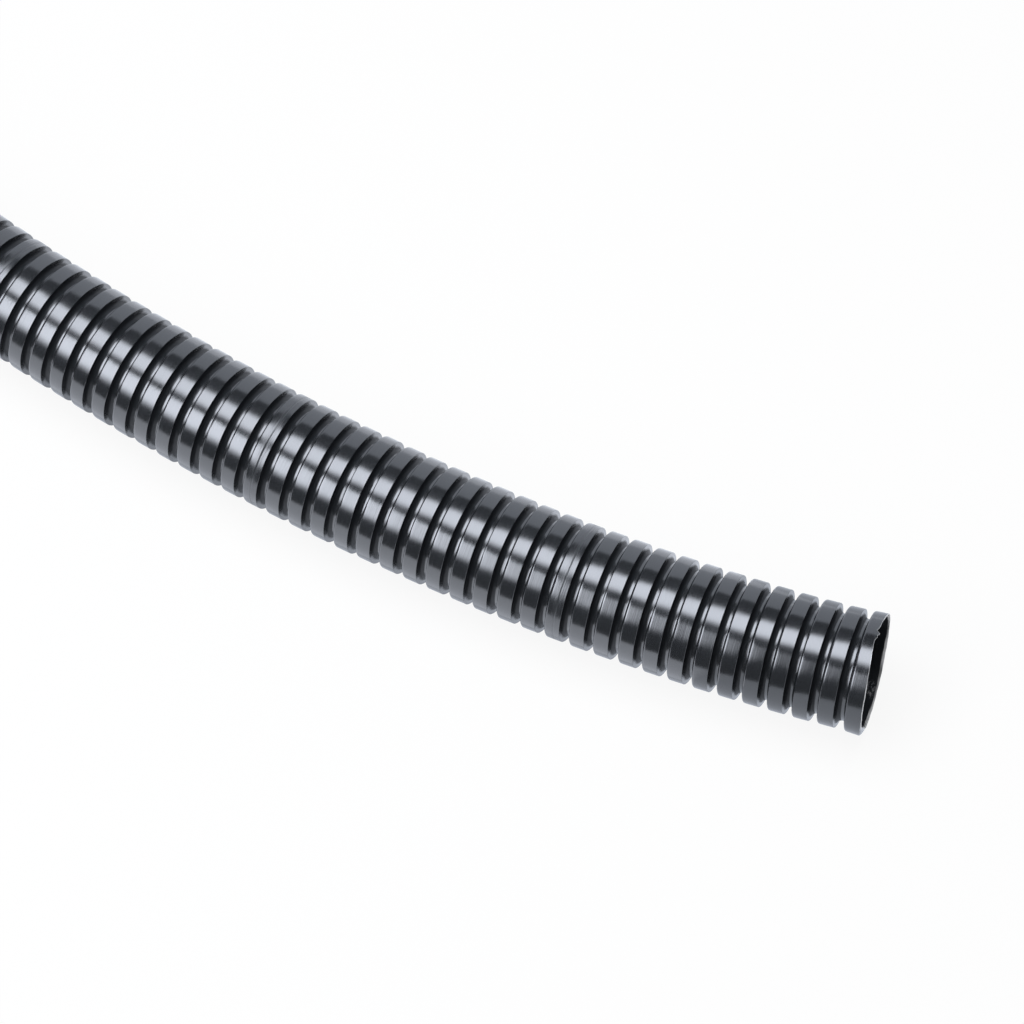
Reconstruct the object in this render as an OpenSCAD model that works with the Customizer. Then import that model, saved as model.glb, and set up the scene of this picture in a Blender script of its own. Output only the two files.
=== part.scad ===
// Corrugated vacuum hose for pools, one bare cut end and one swivel cuff.
// Row frame: the origin is the centre of the cut end's mouth, +X points out of it, +Z is up.
// The hose lies on a flat surface that touches the lowest side of its crests.

/* [Hose] */
// Clear bore of the hose, inside its grooves
hose_bore = 38; // [32:0.5:42]
// Thickness of the moulded wall
hose_wall = 0.7; // [0.5:0.1:1.0]
// Height of a crest above the floor of a groove
crest_rise = 3.5; // [2.8:0.1:4.2]
// Distance from one crest to the next
pitch = 9.8; // [9:0.1:11]
// Width of a crest across its flanks
crest_width = 7.5; // [6.4:0.1:7.8]
// How much narrower each side of a crest is at its top
flank_lean = 0.15; // [0.1:0.05:0.5]
// Radius on the edges of a crest
crest_round = 0.9; // [0.4:0.1:1.2]
// Radius where a flank meets the floor of a groove
groove_round = 0.5; // [0.3:0.1:0.6]

/* [Stretches] */
// Grooves in the straight stretch behind the cut end
cut_end_crests = 5; // [3:1:7]
// How far into its first crest the cut end was sawn
saw_depth = 1.4; // [0:0.1:3]
// Grooves in the straight stretch that carries the cuff
tail_crests = 9; // [7:1:10]
// Crests that the grip shells hold
grip_crests = 5; // [4:1:5]

/* [Grip shells] */
// Thickness of a shell between the crests and the neck it turns on
shell_wall = 1.8; // [1.4:0.1:2.4]
// Gap between the two shells, and between shells and hose
grip_clear = 0.15; // [0.1:0.05:0.25]
// Thickness of the front lip that covers the end of the hose
lip_thick = 2.4; // [1.8:0.1:3.4]
// Width of the front journal, which carries the seal
journal_width = 9; // [7:0.5:11]
// Width of the thrust flange, which keeps the cuff on
thrust_width = 3; // [2:0.5:4]
// Height of journal and thrust flange above the neck
flange_rise = 1.8; // [1.4:0.1:2.4]
// Length of neck that shows behind the retaining ring
neck_show = 3; // [2:0.5:5]

/* [Seal] */
// Thickness of the ring seal's round section
seal_section = 2.6; // [2.2:0.1:2.8]
// Gap between the seal and its groove
seal_clear = 0.05; // [0.02:0.01:0.1]

/* [Swivel cuff] */
// Bore that goes over a pool fitting's spigot
cuff_bore = 38; // [32:0.5:42]
// Length of that bore
socket_length = 42; // [30:1:60]
// Wall round the socket
socket_wall = 2.8; // [2:0.1:3.6]
// Wall of the bell that turns on the shells
bell_wall = 2; // [1.8:0.1:3]
// Length of the sloping shoulder from bell to socket
shoulder_length = 12; // [8:1:18]
// Height of the rolled bead at the mouth
bead_rise = 1.2; // [0.8:0.1:2]
// Width of that bead
bead_width = 3.5; // [2.5:0.1:6]
// Lead-in chamfer at the mouth
lead_in = 0.8; // [0.4:0.1:1.2]
// Height of the inner rib that stops the spigot
stop_rise = 1.5; // [1:0.1:2]
// Thickness of that rib
stop_thick = 2; // [1.5:0.1:3]
// Number of finger ribs round the bell
rib_count = 24; // [12:2:32]
// Radius of a finger rib's round back
rib_radius = 1.3; // [0.9:0.1:1.6]
// Height of a finger rib above the bell
rib_rise = 0.8; // [0.5:0.1:0.9]

/* [Retaining ring] */
// Length of the ring's sleeve inside the bell
sleeve_length = 12; // [9:0.5:14]
// Thickness of the ring's outer rim
rim_thick = 2.6; // [2:0.1:4]
// Height of the snap bead on the sleeve
snap_rise = 0.5; // [0.3:0.1:0.7]
// Width of the snap bead
snap_width = 2; // [1.5:0.1:2.5]
// Number of notches round the rim
notch_count = 18; // [12:2:24]
// Depth of a notch
notch_depth = 0.6; // [0.3:0.1:0.8]
// Radius of a notch
notch_radius = 1.9; // [1.5:0.1:3]

/* [Fit] */
// Radial gap where the cuff and its ring turn on the shells
run_clear = 0.08; // [0.05:0.01:0.1]
// End play of the cuff on the shells
end_play = 0.4; // [0.3:0.05:0.6]
// Gap between the retaining ring's sleeve and the bell it snaps into
snap_clear = 0.05; // [0.02:0.01:0.1]

/* [Hidden] */
// Facets of the large rounds and of the small ones, steps of a corner, sides of the run.
round_fn = 96;
small_fn = 24;
arc_steps = 3;
run_sides = 12;
// How far a joined rib sinks into its wall, and how far a cutter runs past what it cuts.
sink = 0.01;
past = 1;

// Radii of the hose.
valley_r = hose_bore / 2 + hose_wall;
crest_r = valley_r + crest_rise;
groove_width = pitch - crest_width;

// The plain tube of the free run has as much material as the folded wall.
run_wall = hose_wall * (1 + 2 * crest_rise / pitch);

// Radii of the cuff, from the hose outwards.
shell_in_r = crest_r + grip_clear;
neck_r = shell_in_r + shell_wall;
flange_r = neck_r + flange_rise;
bell_in_r = flange_r + run_clear;
bell_out_r = bell_in_r + bell_wall;
grip_r = bell_out_r + rib_rise;
socket_r = cuff_bore / 2;
socket_out_r = socket_r + socket_wall;
seal_r = seal_section / 2;
seal_seat_r = bell_in_r - seal_section - seal_clear;
sleeve_r = bell_in_r - snap_clear;
lip_r = hose_bore / 2 + grip_clear;

// Stations along the cuff's axis. 0 is the hose's hidden end, + points out of the socket.
grip_back = -(grip_crests * pitch - groove_width / 2);
journal_front = lip_thick;
journal_back = journal_front - journal_width;
seal_at = (journal_front + journal_back) / 2;
seal_groove = seal_section + 2 * seal_clear;
rim_back = grip_back + neck_show;
bell_back = rim_back + rim_thick;
sleeve_front = bell_back + sleeve_length;
snap_at = (sleeve_front + bell_back) / 2;
thrust_back = sleeve_front + end_play;
thrust_front = thrust_back + thrust_width;
stop_back = journal_front + end_play;
stop_front = stop_back + stop_thick;
shoulder_end = stop_back + shoulder_length;
mouth = stop_front + socket_length;

// The hose lies on the floor and climbs to the cuff's axis at its far end.
lift = grip_r - crest_r;

// Centreline of the free run: across, away, and share of the lift.
run_points = [
    [-87.5, 1.5, 0], [-127.5, 4.5, 0], [-167, 9.5, 0], [-206.5, 16, 0], [-245.5, 24, 0],
    [-284.5, 33.5, 0], [-323, 44.5, 0], [-361, 56.5, 0], [-398.5, 70, 0], [-435.5, 85.5, 0],
    [-471.5, 104, 0], [-505.5, 126.5, 0], [-536.5, 153, 0], [-563.5, 183, 0],
    [-586, 216, 0], [-604, 252, 0], [-617, 290, 0.2], [-625.5, 329, 0.6],
    [-629, 368.5, 0.9], [-630, 401, 1]
];
cut_end_length = cut_end_crests * pitch - saw_depth + crest_width / 2;
tail_length = tail_crests * pitch + crest_width / 2;
run_line = concat(
    [[-cut_end_length, 0, 0]],
    [for (p = run_points) [p[0], p[1], p[2] * lift]]
);
run_last = run_line[len(run_line) - 1];

// ---- Corrugated wall ----

function arc(c, r, from, to) =
    [for (i = [0 : arc_steps]) let (a = from + (to - from) * i / arc_steps)
        c + r * [cos(a), sin(a)]];

// The crest's front edge, its back edge and the foot of its back flank, as [along, radius],
// running backwards from the front of the crest.
// w: crest width. lo, hi: groove and crest radii. open: cut square, with no front edge.
function crest(front, w, lo, hi, top_r, foot_r, open) = concat(
    open ? [[front, hi]] : arc([front - flank_lean - top_r, hi - top_r], top_r, 0, 90),
    arc([front - w + flank_lean + top_r, hi - top_r], top_r, 90, 180),
    arc([front - w - foot_r, lo + foot_r], foot_r, 0, -90)
);

// A corrugated surface with n grooves, cut square in the middle of its last crest, and sawn
// off at 0, cut deep into its first crest. shift moves each flank inwards by the wall, for
// the inner side.
function corrugation(n, cut, lo, hi, shift, top_r, foot_r) = concat(
    crest(0, crest_width - cut - shift, lo, hi, top_r, foot_r, true),
    [for (i = [1 : n]) let (front = cut - i * pitch - shift) each concat(
        arc([front + foot_r, lo + foot_r], foot_r, -90, -180),
        i == n
            ? concat(
                arc([front - flank_lean - top_r, hi - top_r], top_r, 0, 90),
                [[cut - n * pitch - crest_width / 2, hi]]
            )
            : crest(front, crest_width - 2 * shift, lo, hi, top_r, foot_r, false)
    )]
);

function reversed(list) = [for (i = [len(list) - 1 : -1 : 0]) list[i]];
function flipped(list) = [for (p = list) [p[1], p[0]]];

// A straight stretch of hose with n grooves, from 0 backwards.
module hose_stretch(n, cut) {
    outside = corrugation(n, cut, valley_r, crest_r, 0, crest_round, groove_round);
    inside = corrugation(
        n, cut, valley_r - hose_wall, crest_r - hose_wall, hose_wall,
        max(crest_round - hose_wall, 0.2), groove_round + hose_wall
    );
    rotate_extrude($fn = round_fn)
        polygon(flipped(concat(outside, reversed(inside))));
}

// ---- Free run: a plain tube of the hose's envelope, swept along its centreline ----

function unit(v) = v / norm(v);
function heading(line, i) =
    i == 0 ? [-1, 0, 0]
    : i == len(line) - 1 ? [0, 1, 0]
    : unit(unit(line[i + 1] - line[i]) + unit(line[i] - line[i - 1]));

function ring_points(line, i, r) =
    let (t = heading(line, i), side = unit(cross([0, 0, 1], t)), up = cross(t, side))
        [for (k = [0 : run_sides - 1]) let (a = 360 * k / run_sides)
            line[i] + r * (cos(a) * side + sin(a) * up)];

module swept_tube(line, r_out, r_in) {
    n = len(line);
    s = run_sides;
    points = concat(
        [for (i = [0 : n - 1]) each ring_points(line, i, r_out)],
        [for (i = [0 : n - 1]) each ring_points(line, i, r_in)]
    );
    function v(layer, i, k) = layer * n * s + i * s + k % s;
    walls = [for (i = [0 : n - 2], k = [0 : s - 1]) each [
        [v(0, i, k), v(0, i, k + 1), v(0, i + 1, k + 1), v(0, i + 1, k)],
        [v(1, i, k + 1), v(1, i, k), v(1, i + 1, k), v(1, i + 1, k + 1)]
    ]];
    rims = [for (k = [0 : s - 1]) each [
        [v(0, 0, k + 1), v(0, 0, k), v(1, 0, k), v(1, 0, k + 1)],
        [v(0, n - 1, k), v(0, n - 1, k + 1), v(1, n - 1, k + 1), v(1, n - 1, k)]
    ]];
    polyhedron(points, concat(walls, rims), convexity = 10);
}

// ---- The hose's three stretches ----

hose_colour = [0.07, 0.075, 0.085];
shell_colour = [0.2, 0.21, 0.22];

module hose_cut_end() {
    color(hose_colour) rotate([0, 90, 0]) hose_stretch(cut_end_crests, saw_depth);
}

module hose_run() {
    color(hose_colour) swept_tube(run_line, crest_r, crest_r - run_wall);
}

module hose_tail() {
    color(hose_colour) on_tail() hose_stretch(tail_crests, 0);
}

// ---- Cuff parts, made along +Z and laid along the hose's last heading ----

module on_tail() {
    translate([run_last[0], run_last[1] + tail_length, lift]) rotate([-90, 0, 0]) children();
}

// A profile of [along, radius] points turned round the axis.
module turned(profile) {
    rotate_extrude($fn = round_fn) polygon(flipped(profile));
}

module grip_shell_upper() {
    color(shell_colour) on_tail() grip_half(1);
}

module grip_shell_lower() {
    color(shell_colour) on_tail() grip_half(-1);
}

module grip_half(side) {
    reach = flange_r + past;
    intersection() {
        whole_grip();
        translate([
            -reach, side > 0 ? -reach - grip_clear / 2 : grip_clear / 2, grip_back - past
        ])
            cube([2 * reach, reach, journal_front - grip_back + 2 * past]);
    }
}

// Both shells in one piece: a sleeve with ribs for the grooves, a thrust flange, and a front
// journal with the seal's groove and a lip over the hose's end.
module whole_grip() {
    groove_back = seal_at - seal_groove / 2;
    groove_front = seal_at + seal_groove / 2;
    turned([
        [grip_back, shell_in_r], [grip_back, neck_r],
        [thrust_back, neck_r], [thrust_back, flange_r],
        [thrust_front, flange_r], [thrust_front, neck_r],
        [journal_back, neck_r], [journal_back, flange_r],
        [groove_back, flange_r], [groove_back, seal_seat_r],
        [groove_front, seal_seat_r], [groove_front, flange_r],
        [journal_front, flange_r], [journal_front, lip_r],
        [grip_clear, lip_r], [grip_clear, shell_in_r]
    ]);
    for (i = [0 : grip_crests - 2])
        grip_rib(-i * pitch - crest_width - grip_clear, -(i + 1) * pitch + grip_clear);
}

module grip_rib(front, back) {
    rib_r = valley_r + grip_clear;
    turned([
        [back, shell_in_r + sink], [back + groove_round, rib_r],
        [front - groove_round, rib_r], [front, shell_in_r + sink]
    ]);
}

module ring_seal() {
    color([0.04, 0.04, 0.04]) on_tail()
        translate([0, 0, seal_at])
            rotate_extrude($fn = round_fn)
                translate([bell_in_r - seal_clear - seal_r, 0]) circle(seal_r, $fn = small_fn);
}

module swivel_cuff() {
    color([0.12, 0.125, 0.135]) on_tail()
        difference() {
            union() {
                cuff_shell();
                finger_ribs();
            }
            snap_groove();
        }
}

// The bell over the shells, the stop rib, the socket and the bead at its mouth.
module cuff_shell() {
    stop_r = socket_r - stop_rise;
    bead_r = socket_out_r + bead_rise;
    bead_back = mouth - bead_width;
    bead_edge = bead_rise / 2;
    turned([
        [bell_back, bell_in_r], [bell_back, bell_out_r],
        [stop_back, bell_out_r], [shoulder_end, socket_out_r],
        [bead_back, socket_out_r], [bead_back + bead_edge, bead_r],
        [mouth - bead_edge, bead_r], [mouth, bead_r - bead_edge],
        [mouth, socket_r + lead_in], [mouth - lead_in, socket_r],
        [stop_front, socket_r], [stop_front, stop_r], [stop_back, stop_r],
        [stop_back, bell_in_r]
    ]);
}

// Long round-backed ribs round the bell, sunk in its wall.
module finger_ribs() {
    from = bell_back + rib_radius;
    to = stop_back - rib_radius;
    for (i = [0 : rib_count - 1])
        rotate(i * 360 / rib_count)
            translate([grip_r - rib_radius, 0, from])
                cylinder(h = to - from, r = rib_radius, $fn = small_fn);
}

module snap_groove() {
    half = snap_width / 2 + snap_clear;
    floor_r = bell_in_r + snap_rise + snap_clear;
    turned([
        [snap_at - half, bell_in_r - sink], [snap_at - half, floor_r],
        [snap_at + half, floor_r], [snap_at + half, bell_in_r - sink]
    ]);
}

module retaining_ring() {
    color(shell_colour) on_tail()
        difference() {
            ring_body();
            rim_notches();
        }
}

// The rim behind the bell, and the sleeve inside it with its snap bead.
module ring_body() {
    ring_in_r = neck_r + run_clear;
    rim_edge = rim_thick / 4;
    bead_r = bell_in_r + snap_rise;
    turned([
        [rim_back, ring_in_r], [rim_back, bell_out_r - rim_edge],
        [rim_back + rim_edge, bell_out_r], [bell_back, bell_out_r], [bell_back, sleeve_r],
        [snap_at - snap_width / 2, sleeve_r], [snap_at - snap_width / 4, bead_r],
        [snap_at + snap_width / 4, bead_r], [snap_at + snap_width / 2, sleeve_r],
        [sleeve_front, sleeve_r], [sleeve_front, ring_in_r]
    ]);
}

module rim_notches() {
    for (i = [0 : notch_count - 1])
        rotate(i * 360 / notch_count)
            translate([bell_out_r - notch_depth + notch_radius, 0, rim_back - past])
                cylinder(h = rim_thick + past, r = notch_radius, $fn = small_fn);
}

hose_cut_end();
hose_run();
hose_tail();
grip_shell_upper();
grip_shell_lower();
ring_seal();
swivel_cuff();
retaining_ring();
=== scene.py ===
"""Looks of a corrugated pool vacuum hose with a swivel cuff: metres, in the row's frame.

The hose is one thin wall of rings and grooves, in two lengths along one line, and the cuff's
turned pieces stand over their own solids.
"""

import math

import bpy
import numpy as np
from mathutils import Matrix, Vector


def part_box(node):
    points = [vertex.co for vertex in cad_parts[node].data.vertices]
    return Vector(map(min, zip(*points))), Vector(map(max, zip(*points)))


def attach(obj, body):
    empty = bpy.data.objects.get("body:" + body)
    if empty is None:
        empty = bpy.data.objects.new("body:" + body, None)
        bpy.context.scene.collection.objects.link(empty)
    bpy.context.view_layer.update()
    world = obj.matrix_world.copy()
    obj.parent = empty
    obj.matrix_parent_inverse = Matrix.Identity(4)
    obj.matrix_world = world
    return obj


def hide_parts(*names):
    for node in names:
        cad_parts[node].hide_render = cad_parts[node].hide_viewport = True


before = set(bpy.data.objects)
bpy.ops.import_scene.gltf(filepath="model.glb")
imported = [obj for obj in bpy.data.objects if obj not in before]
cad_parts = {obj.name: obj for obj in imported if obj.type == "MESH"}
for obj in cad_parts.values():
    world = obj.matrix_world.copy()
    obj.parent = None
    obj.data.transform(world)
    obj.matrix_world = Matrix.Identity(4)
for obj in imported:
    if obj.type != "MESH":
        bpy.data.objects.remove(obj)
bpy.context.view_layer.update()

MM = 0.001

# ---- Sizes, from the frame's own solids where they show them ----

cut_low, cut_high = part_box("hose_cut_end")
tail_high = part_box("hose_tail")[1]
cuff_low, cuff_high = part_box("swivel_cuff")
ring_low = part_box("retaining_ring")[0]

CREST_R = cut_high.z
FLOOR_Z = cut_low.z
CREST_RISE = 3.5 * MM
VALLEY_R = CREST_R - CREST_RISE
WALL = 0.7 * MM
PITCH = 9.8 * MM
CREST_WIDTH = 7.5 * MM
FLANK_LEAN = 0.15 * MM
BACK_ROUND = 0.8 * MM
GROOVE_ROUND = 0.8 * MM

# A crest's face towards the mouth stands upright, with a crisp edge above it and a wide round
# below it. It is set back this far from where the crest's width is measured.
FRONT_SET_BACK = 1.25 * MM
EDGE_ROUND = 0.12 * MM
FRONT_FOOT_ROUND = 2.1 * MM
CROWN = 0.03 * MM
GROOVE_WIDTH = PITCH - CREST_WIDTH

CUFF_X = (cuff_low.x + cuff_high.x) / 2
CUFF_Z = (cuff_low.z + cuff_high.z) / 2
TAIL_END = tail_high.y

# Centreline of the free run, as in the part's source: across, away, share of the lift.
RUN_POINTS = (
    (-87.5, 1.5, 0), (-127.5, 4.5, 0), (-167, 9.5, 0), (-206.5, 16, 0), (-245.5, 24, 0),
    (-284.5, 33.5, 0), (-323, 44.5, 0), (-361, 56.5, 0), (-398.5, 70, 0), (-435.5, 85.5, 0),
    (-471.5, 104, 0), (-505.5, 126.5, 0), (-536.5, 153, 0), (-563.5, 183, 0),
    (-586, 216, 0), (-604, 252, 0), (-617, 290, 0.2), (-625.5, 329, 0.6),
    (-629, 368.5, 0.9), (-630, 401, 1),
)

# ---- Camera ----

AIM = np.array((-0.15277, 0.02618, 0.0))
VIEW_TURN = math.radians(18.24)
VIEW_DROP = math.radians(59.02)
CAMERA_REACH = 4.0
LENS = 368.3
SENSOR_WIDTH = 36
NEAREST, FARTHEST = 0.05, 60


def add_object(name, data):
    """A new object at the origin, in the scene."""
    made = bpy.data.objects.new(name, data)
    bpy.context.scene.collection.objects.link(made)
    return made


def make_camera():
    """A long lens looks down at VIEW_DROP below the horizon, turned VIEW_TURN from +Y."""
    data = bpy.data.cameras.new("camera")
    data.lens = LENS
    data.sensor_width = SENSOR_WIDTH
    data.clip_start = NEAREST
    data.clip_end = FARTHEST
    camera = add_object("camera", data)
    level = math.cos(VIEW_DROP) * CAMERA_REACH
    camera.location = (
        AIM[0] + math.sin(VIEW_TURN) * level,
        AIM[1] - math.cos(VIEW_TURN) * level,
        AIM[2] + math.sin(VIEW_DROP) * CAMERA_REACH,
    )
    camera.rotation_euler = (math.pi / 2 - VIEW_DROP, 0, VIEW_TURN)
    bpy.context.scene.camera = camera


make_camera()

# ---- The hose's line ----


def hose_line(samples_per_span=60):
    """A uniform cubic B-spline pulled by the route's points, with both ends carried straight on.
    Gives points along it, and the length of the line up to each."""
    points = [(cut_high.x, 0, 0), (cut_low.x, 0, 0)]
    points += [(x * MM, y * MM, share * CUFF_Z) for x, y, share in RUN_POINTS]
    halfway = (RUN_POINTS[-1][1] * MM + TAIL_END) / 2
    points += [(CUFF_X, halfway, CUFF_Z), (CUFF_X, TAIL_END, CUFF_Z)]
    pull = np.array(points)
    pull = np.vstack([2 * pull[0] - pull[1], pull, 2 * pull[-1] - pull[-2]])
    t = np.linspace(0, 1, samples_per_span, endpoint=False)[:, None, None]
    a, b, c, d = pull[:-3], pull[1:-2], pull[2:-1], pull[3:]
    curve = (
        (1 - t) ** 3 * a
        + (3 * t**3 - 6 * t**2 + 4) * b
        + (-3 * t**3 + 3 * t**2 + 3 * t + 1) * c
        + t**3 * d
    ) / 6
    curve = curve.transpose(1, 0, 2).reshape(-1, 3)
    curve = np.vstack([curve, pull[-2]])
    lengths = np.concatenate([[0], np.cumsum(np.linalg.norm(np.diff(curve, axis=0), axis=1))])
    return curve, lengths


LINE, LINE_LENGTHS = hose_line()
HOSE_LENGTH = LINE_LENGTHS[-1]


def on_line(s):
    """Point, heading, left side and upper side of the line at the lengths s. The heading is from
    a step before the point to a step after it. The line runs straight on past its ends, for less
    than that step."""
    def at(lengths):
        return np.stack([np.interp(lengths, LINE_LENGTHS, LINE[:, i]) for i in range(3)], axis=-1)

    step = 2 * MM
    low = np.clip(s - step, 0, HOSE_LENGTH)
    high = np.clip(s + step, 0, HOSE_LENGTH)
    heading = at(high) - at(low)
    heading /= np.linalg.norm(heading, axis=-1, keepdims=True)
    side = np.cross((0.0, 0.0, 1.0), heading)
    side /= np.linalg.norm(side, axis=-1, keepdims=True)
    inside = np.clip(s, 0, HOSE_LENGTH)
    point = at(inside) + (s - inside)[..., None] * heading
    return point, heading, side, np.cross(heading, side)


# ---- Shared curves ----


def ramp(value, start, over):
    """0 up to start, then rising evenly to 1 at over beyond it."""
    return np.clip((value - start) / over, 0, 1)


def bell(x):
    """A smooth hump, 1 at x = 0 and nearly gone at 2."""
    return np.exp(-(x**2))


def quarter_round(share):
    """Height of a quarter circle over its own width: 0 at share 0, 1 at share 1."""
    return np.sqrt(1 - (1 - share) ** 2)


def turned_from(turn, place):
    """How far round turn is from place, within half a turn to either side."""
    return np.angle(np.exp(1j * (turn - place)))


# ---- Meshes ----


def add_mesh(name, points, faces_of_four, caps=(), smooth_angle=math.radians(32)):
    """A closed mesh from arrays of points and quads, plus end faces, turned to point outwards."""
    points = np.asarray(points, float).reshape(-1, 3)
    quads = np.asarray(faces_of_four, int).reshape(-1, 4)
    a, b, c, d = (points[quads[:, i]] for i in range(4))
    volume = np.einsum("ij,ij->i", a, np.cross(b, c) + np.cross(c, d)).sum()
    for cap in caps:
        rim = points[cap]
        volume += (np.cross(rim[1:-1], rim[2:]) @ rim[0]).sum()
    if volume < 0:
        quads = quads[:, ::-1]
        caps = [list(reversed(cap)) for cap in caps]
    mesh = bpy.data.meshes.new(name)
    mesh.from_pydata(points, [], quads.tolist() + [list(cap) for cap in caps])
    mesh.validate()
    mesh.update()
    mesh.shade_smooth()
    mesh.set_sharp_from_angle(angle=smooth_angle)
    return add_object(name, mesh)


def grid_quads(rows, columns, close_columns=True):
    """Quads of a grid whose rows close on themselves, and whose columns may."""
    i = np.arange(rows)[:, None]
    j = np.arange(columns if close_columns else columns - 1)[None, :]
    i2, j2 = (i + 1) % rows, (j + 1) % columns
    corners = (i * columns + j, i * columns + j2, i2 * columns + j2, i2 * columns + j)
    return np.stack(np.broadcast_arrays(*corners), axis=-1).reshape(-1, 4)


def add_field(piece, name, values, kind="FLOAT"):
    """A value or a vector on each point, which the piece's material reads by name."""
    field = piece.data.attributes.new(name, kind, "POINT")
    key = "value" if kind == "FLOAT" else "vector"
    field.data.foreach_set(key, np.asarray(values, np.float32).ravel())


# ---- The hose's wall ----

AROUND = 68

# A parting line runs round every SEAM_EVERY-th crest, as a fine dip. Rows of the crest's top, as
# shares of its width from the middle: the line itself, and those that only it needs.
SEAM_EVERY = 13
FIRST_SEAM = 12
SEAM_DEPTH = 0.12 * MM
TOP_ROWS = np.array([-0.06, -0.03, 0, 0.03, 0.06])
ON_SEAM, BY_SEAM = 0.01, 0.1
SEAM_BAND = 1.6

# Rows that hold a crisp edge, in rounds of that edge. How much of the wall's thickness a groove's
# rounds gain on the inside, and the least round there.
EDGE_ROWS = (2.5, 1)
INNER_GAIN = 0.6
LEAST_ROUND = 0.2 * MM

# How far down a crest's front and back shoulders its gloss reaches, and how soon it fades. The
# groove's floor has it too, up to FLOOR_FRONT and FLOOR_BACK above it. Between, the groove is dull
# and darker, as painted shade.
FRONT_GLOSS, FRONT_FADE = 0.05 * MM, 0.2 * MM
BACK_GLOSS, BACK_FADE = 0.85 * MM, 0.8 * MM
FLOOR_FRONT, FLOOR_BACK = 0.015 * MM, 0.5 * MM

# The crests' front faces stay glossy along two sides of the hose, a quarter turn either side of
# SHADED_AT, which faces the camera: a painted highlight where the camera sees them edge-on.
# Between, they are dull and darker, as painted shade. A face starts where its foot's round ends,
# within FOOT_SLACK.
SHADED_AT = math.radians(59)
HIGHLIGHT_FROM, HIGHLIGHT_OVER = 0.84, 0.1
FOOT_SLACK = 0.001 * MM

FRONT_CRESTS = 47
SAW_DEPTH = 1.4 * MM
CREST_COUNT = round((HOSE_LENGTH - CREST_WIDTH + SAW_DEPTH) / PITCH) + 1
EVEN_CRESTS = 48
EVEN_PITCH = 9.777 * MM
HELD_CRESTS = 10

# The nick that the saw left in the cut edge: its place round the wall, reach and width.
NICK_AT = math.radians(101)
NICK_REACH = 1.1 * MM
NICK_WIDTH = 1.7 * MM

# Points round the hose crowd there: how much closer they lie, and over what angle.
CROWD_GAIN = 6
CROWD_REACH = 0.1
FINE_TURNS = 4001

# What the cut edge holds. Teeth: height in NICK_REACH, then place and sharpness in NICK_WIDTH.
# Waves: height in millimetres, number round the edge and start.
TEETH = ((1, 0, 2.1), (0.6, -1.1, 2.6), (-0.45, 0.9, 2.0))
SAW_WAVES = ((0.06, 3, 1), (0.05, 11, 0), (0.04, 29, 2))
SAW_WAVES_DEPTH = 1.4 * MM

# The sawn crest has sprung open a little: how far it leans, which way, how far it stands out,
# how much wider it is, how far behind the mouth that dies out, and how sharply.
MOUTH_LEAN = 1.5 * MM
MOUTH_LEAN_AT = math.radians(186)
MOUTH_OUT = 0.35 * MM
MOUTH_FLARE = 0.6 * MM
MOUTH_DEPTH = 8 * MM
MOUTH_FALL = 1.5

# The saw wandered: the cut lies this much deeper here.
SAW_BITE = 1.3 * MM
SAW_BITE_AT = math.radians(94)
SAW_BITE_REACH = math.radians(29)

# The last few crests bend off the straight, towards this angle, over this length.
END_BEND = 0.75 * MM
END_BEND_AT = math.radians(150)
END_BEND_REACH = 20 * MM

# On one side the saw ran out of the crest, and left its front wall standing there.
FRONT_WALL = 3.4 * MM
FRONT_WALL_AT = math.radians(330)
FRONT_WALL_REACH = math.radians(24)
FRONT_WALL_ROUND = 1.1 * MM
FRONT_WALL_INSIDE = 0.5 * MM
FRONT_WALL_DEPTH = 3 * MM

# The saw broke the inner edge of the wall: thickness left, depth of that burr, how soon it fades
# and the waves of its depth: share, number round the edge and start. Rows of the wall behind the
# cut, the first few of them on the outside too.
RIM_THICK = 0.35 * MM
BURR_DEPTH = 0.8 * MM
BURR_FADE = 0.3 * MM
BURR_WAVE, BURR_WAVES, BURR_START = 0.3, 5, 1
BURR_ROWS = np.array([0.0, 0.4, 0.75, 1.1, 1.6, 2.3, 3.1, 3.9]) * MM
OUTER_BURR_ROWS = 4

# Swarf that clings inside the mouth: its place round the bore and its depth.
SWARF_AT = math.radians(255)
SWARF_DEPTH = 2.4 * MM

# Rows of the outline keep this clear of the rows at the cut, and of the hidden end.
CUT_CLEAR = 0.3 * MM
END_CLEAR = 1.3 * MM

# The crests aren't quite even: spread of their places, leans and ovals. This starts behind the
# mouth, and stops before the cuff: start and fade of each.
SPREAD_SHIFT, SPREAD_TILT, SPREAD_OVAL = 0.05 * MM, 0.07 * MM, 0.05 * MM
UNEVEN_FROM, UNEVEN_OVER = 2 * MM, 4 * MM
EVEN_BEFORE_END, EVEN_OVER = 60 * MM, 9 * MM
FULL_TURN = 2 * math.pi
TINY = 1e-9

rng = np.random.default_rng(11)
CREST_SHIFT = rng.normal(0, SPREAD_SHIFT, CREST_COUNT)
CREST_TILT = rng.normal(0, SPREAD_TILT, CREST_COUNT)
CREST_TILT_AT = rng.uniform(0, FULL_TURN, CREST_COUNT)
CREST_OVAL = rng.normal(0, SPREAD_OVAL, CREST_COUNT)
CREST_OVAL_AT = rng.uniform(0, FULL_TURN, CREST_COUNT)


def crest_start(k):
    """Front of crest k. The first ones lie EVEN_PITCH apart, those that the cuff holds a whole
    pitch, and the crests between share what is left."""
    last = CREST_COUNT - 1
    stops = (0, EVEN_CRESTS, last - HELD_CRESTS, last)
    end = HOSE_LENGTH - CREST_WIDTH
    fronts = (0, EVEN_CRESTS * EVEN_PITCH, end + SAW_DEPTH - HELD_CRESTS * PITCH, end + SAW_DEPTH)
    return np.interp(k, stops, fronts) - SAW_DEPTH


def corner(centre_along, centre_r, radius, degrees):
    """Points on a quarter round, at the given degrees: along, radius."""
    turn = np.radians(np.array(degrees, float))
    return np.stack([centre_along + radius * np.cos(turn), centre_r + radius * np.sin(turn)], -1)


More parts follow.
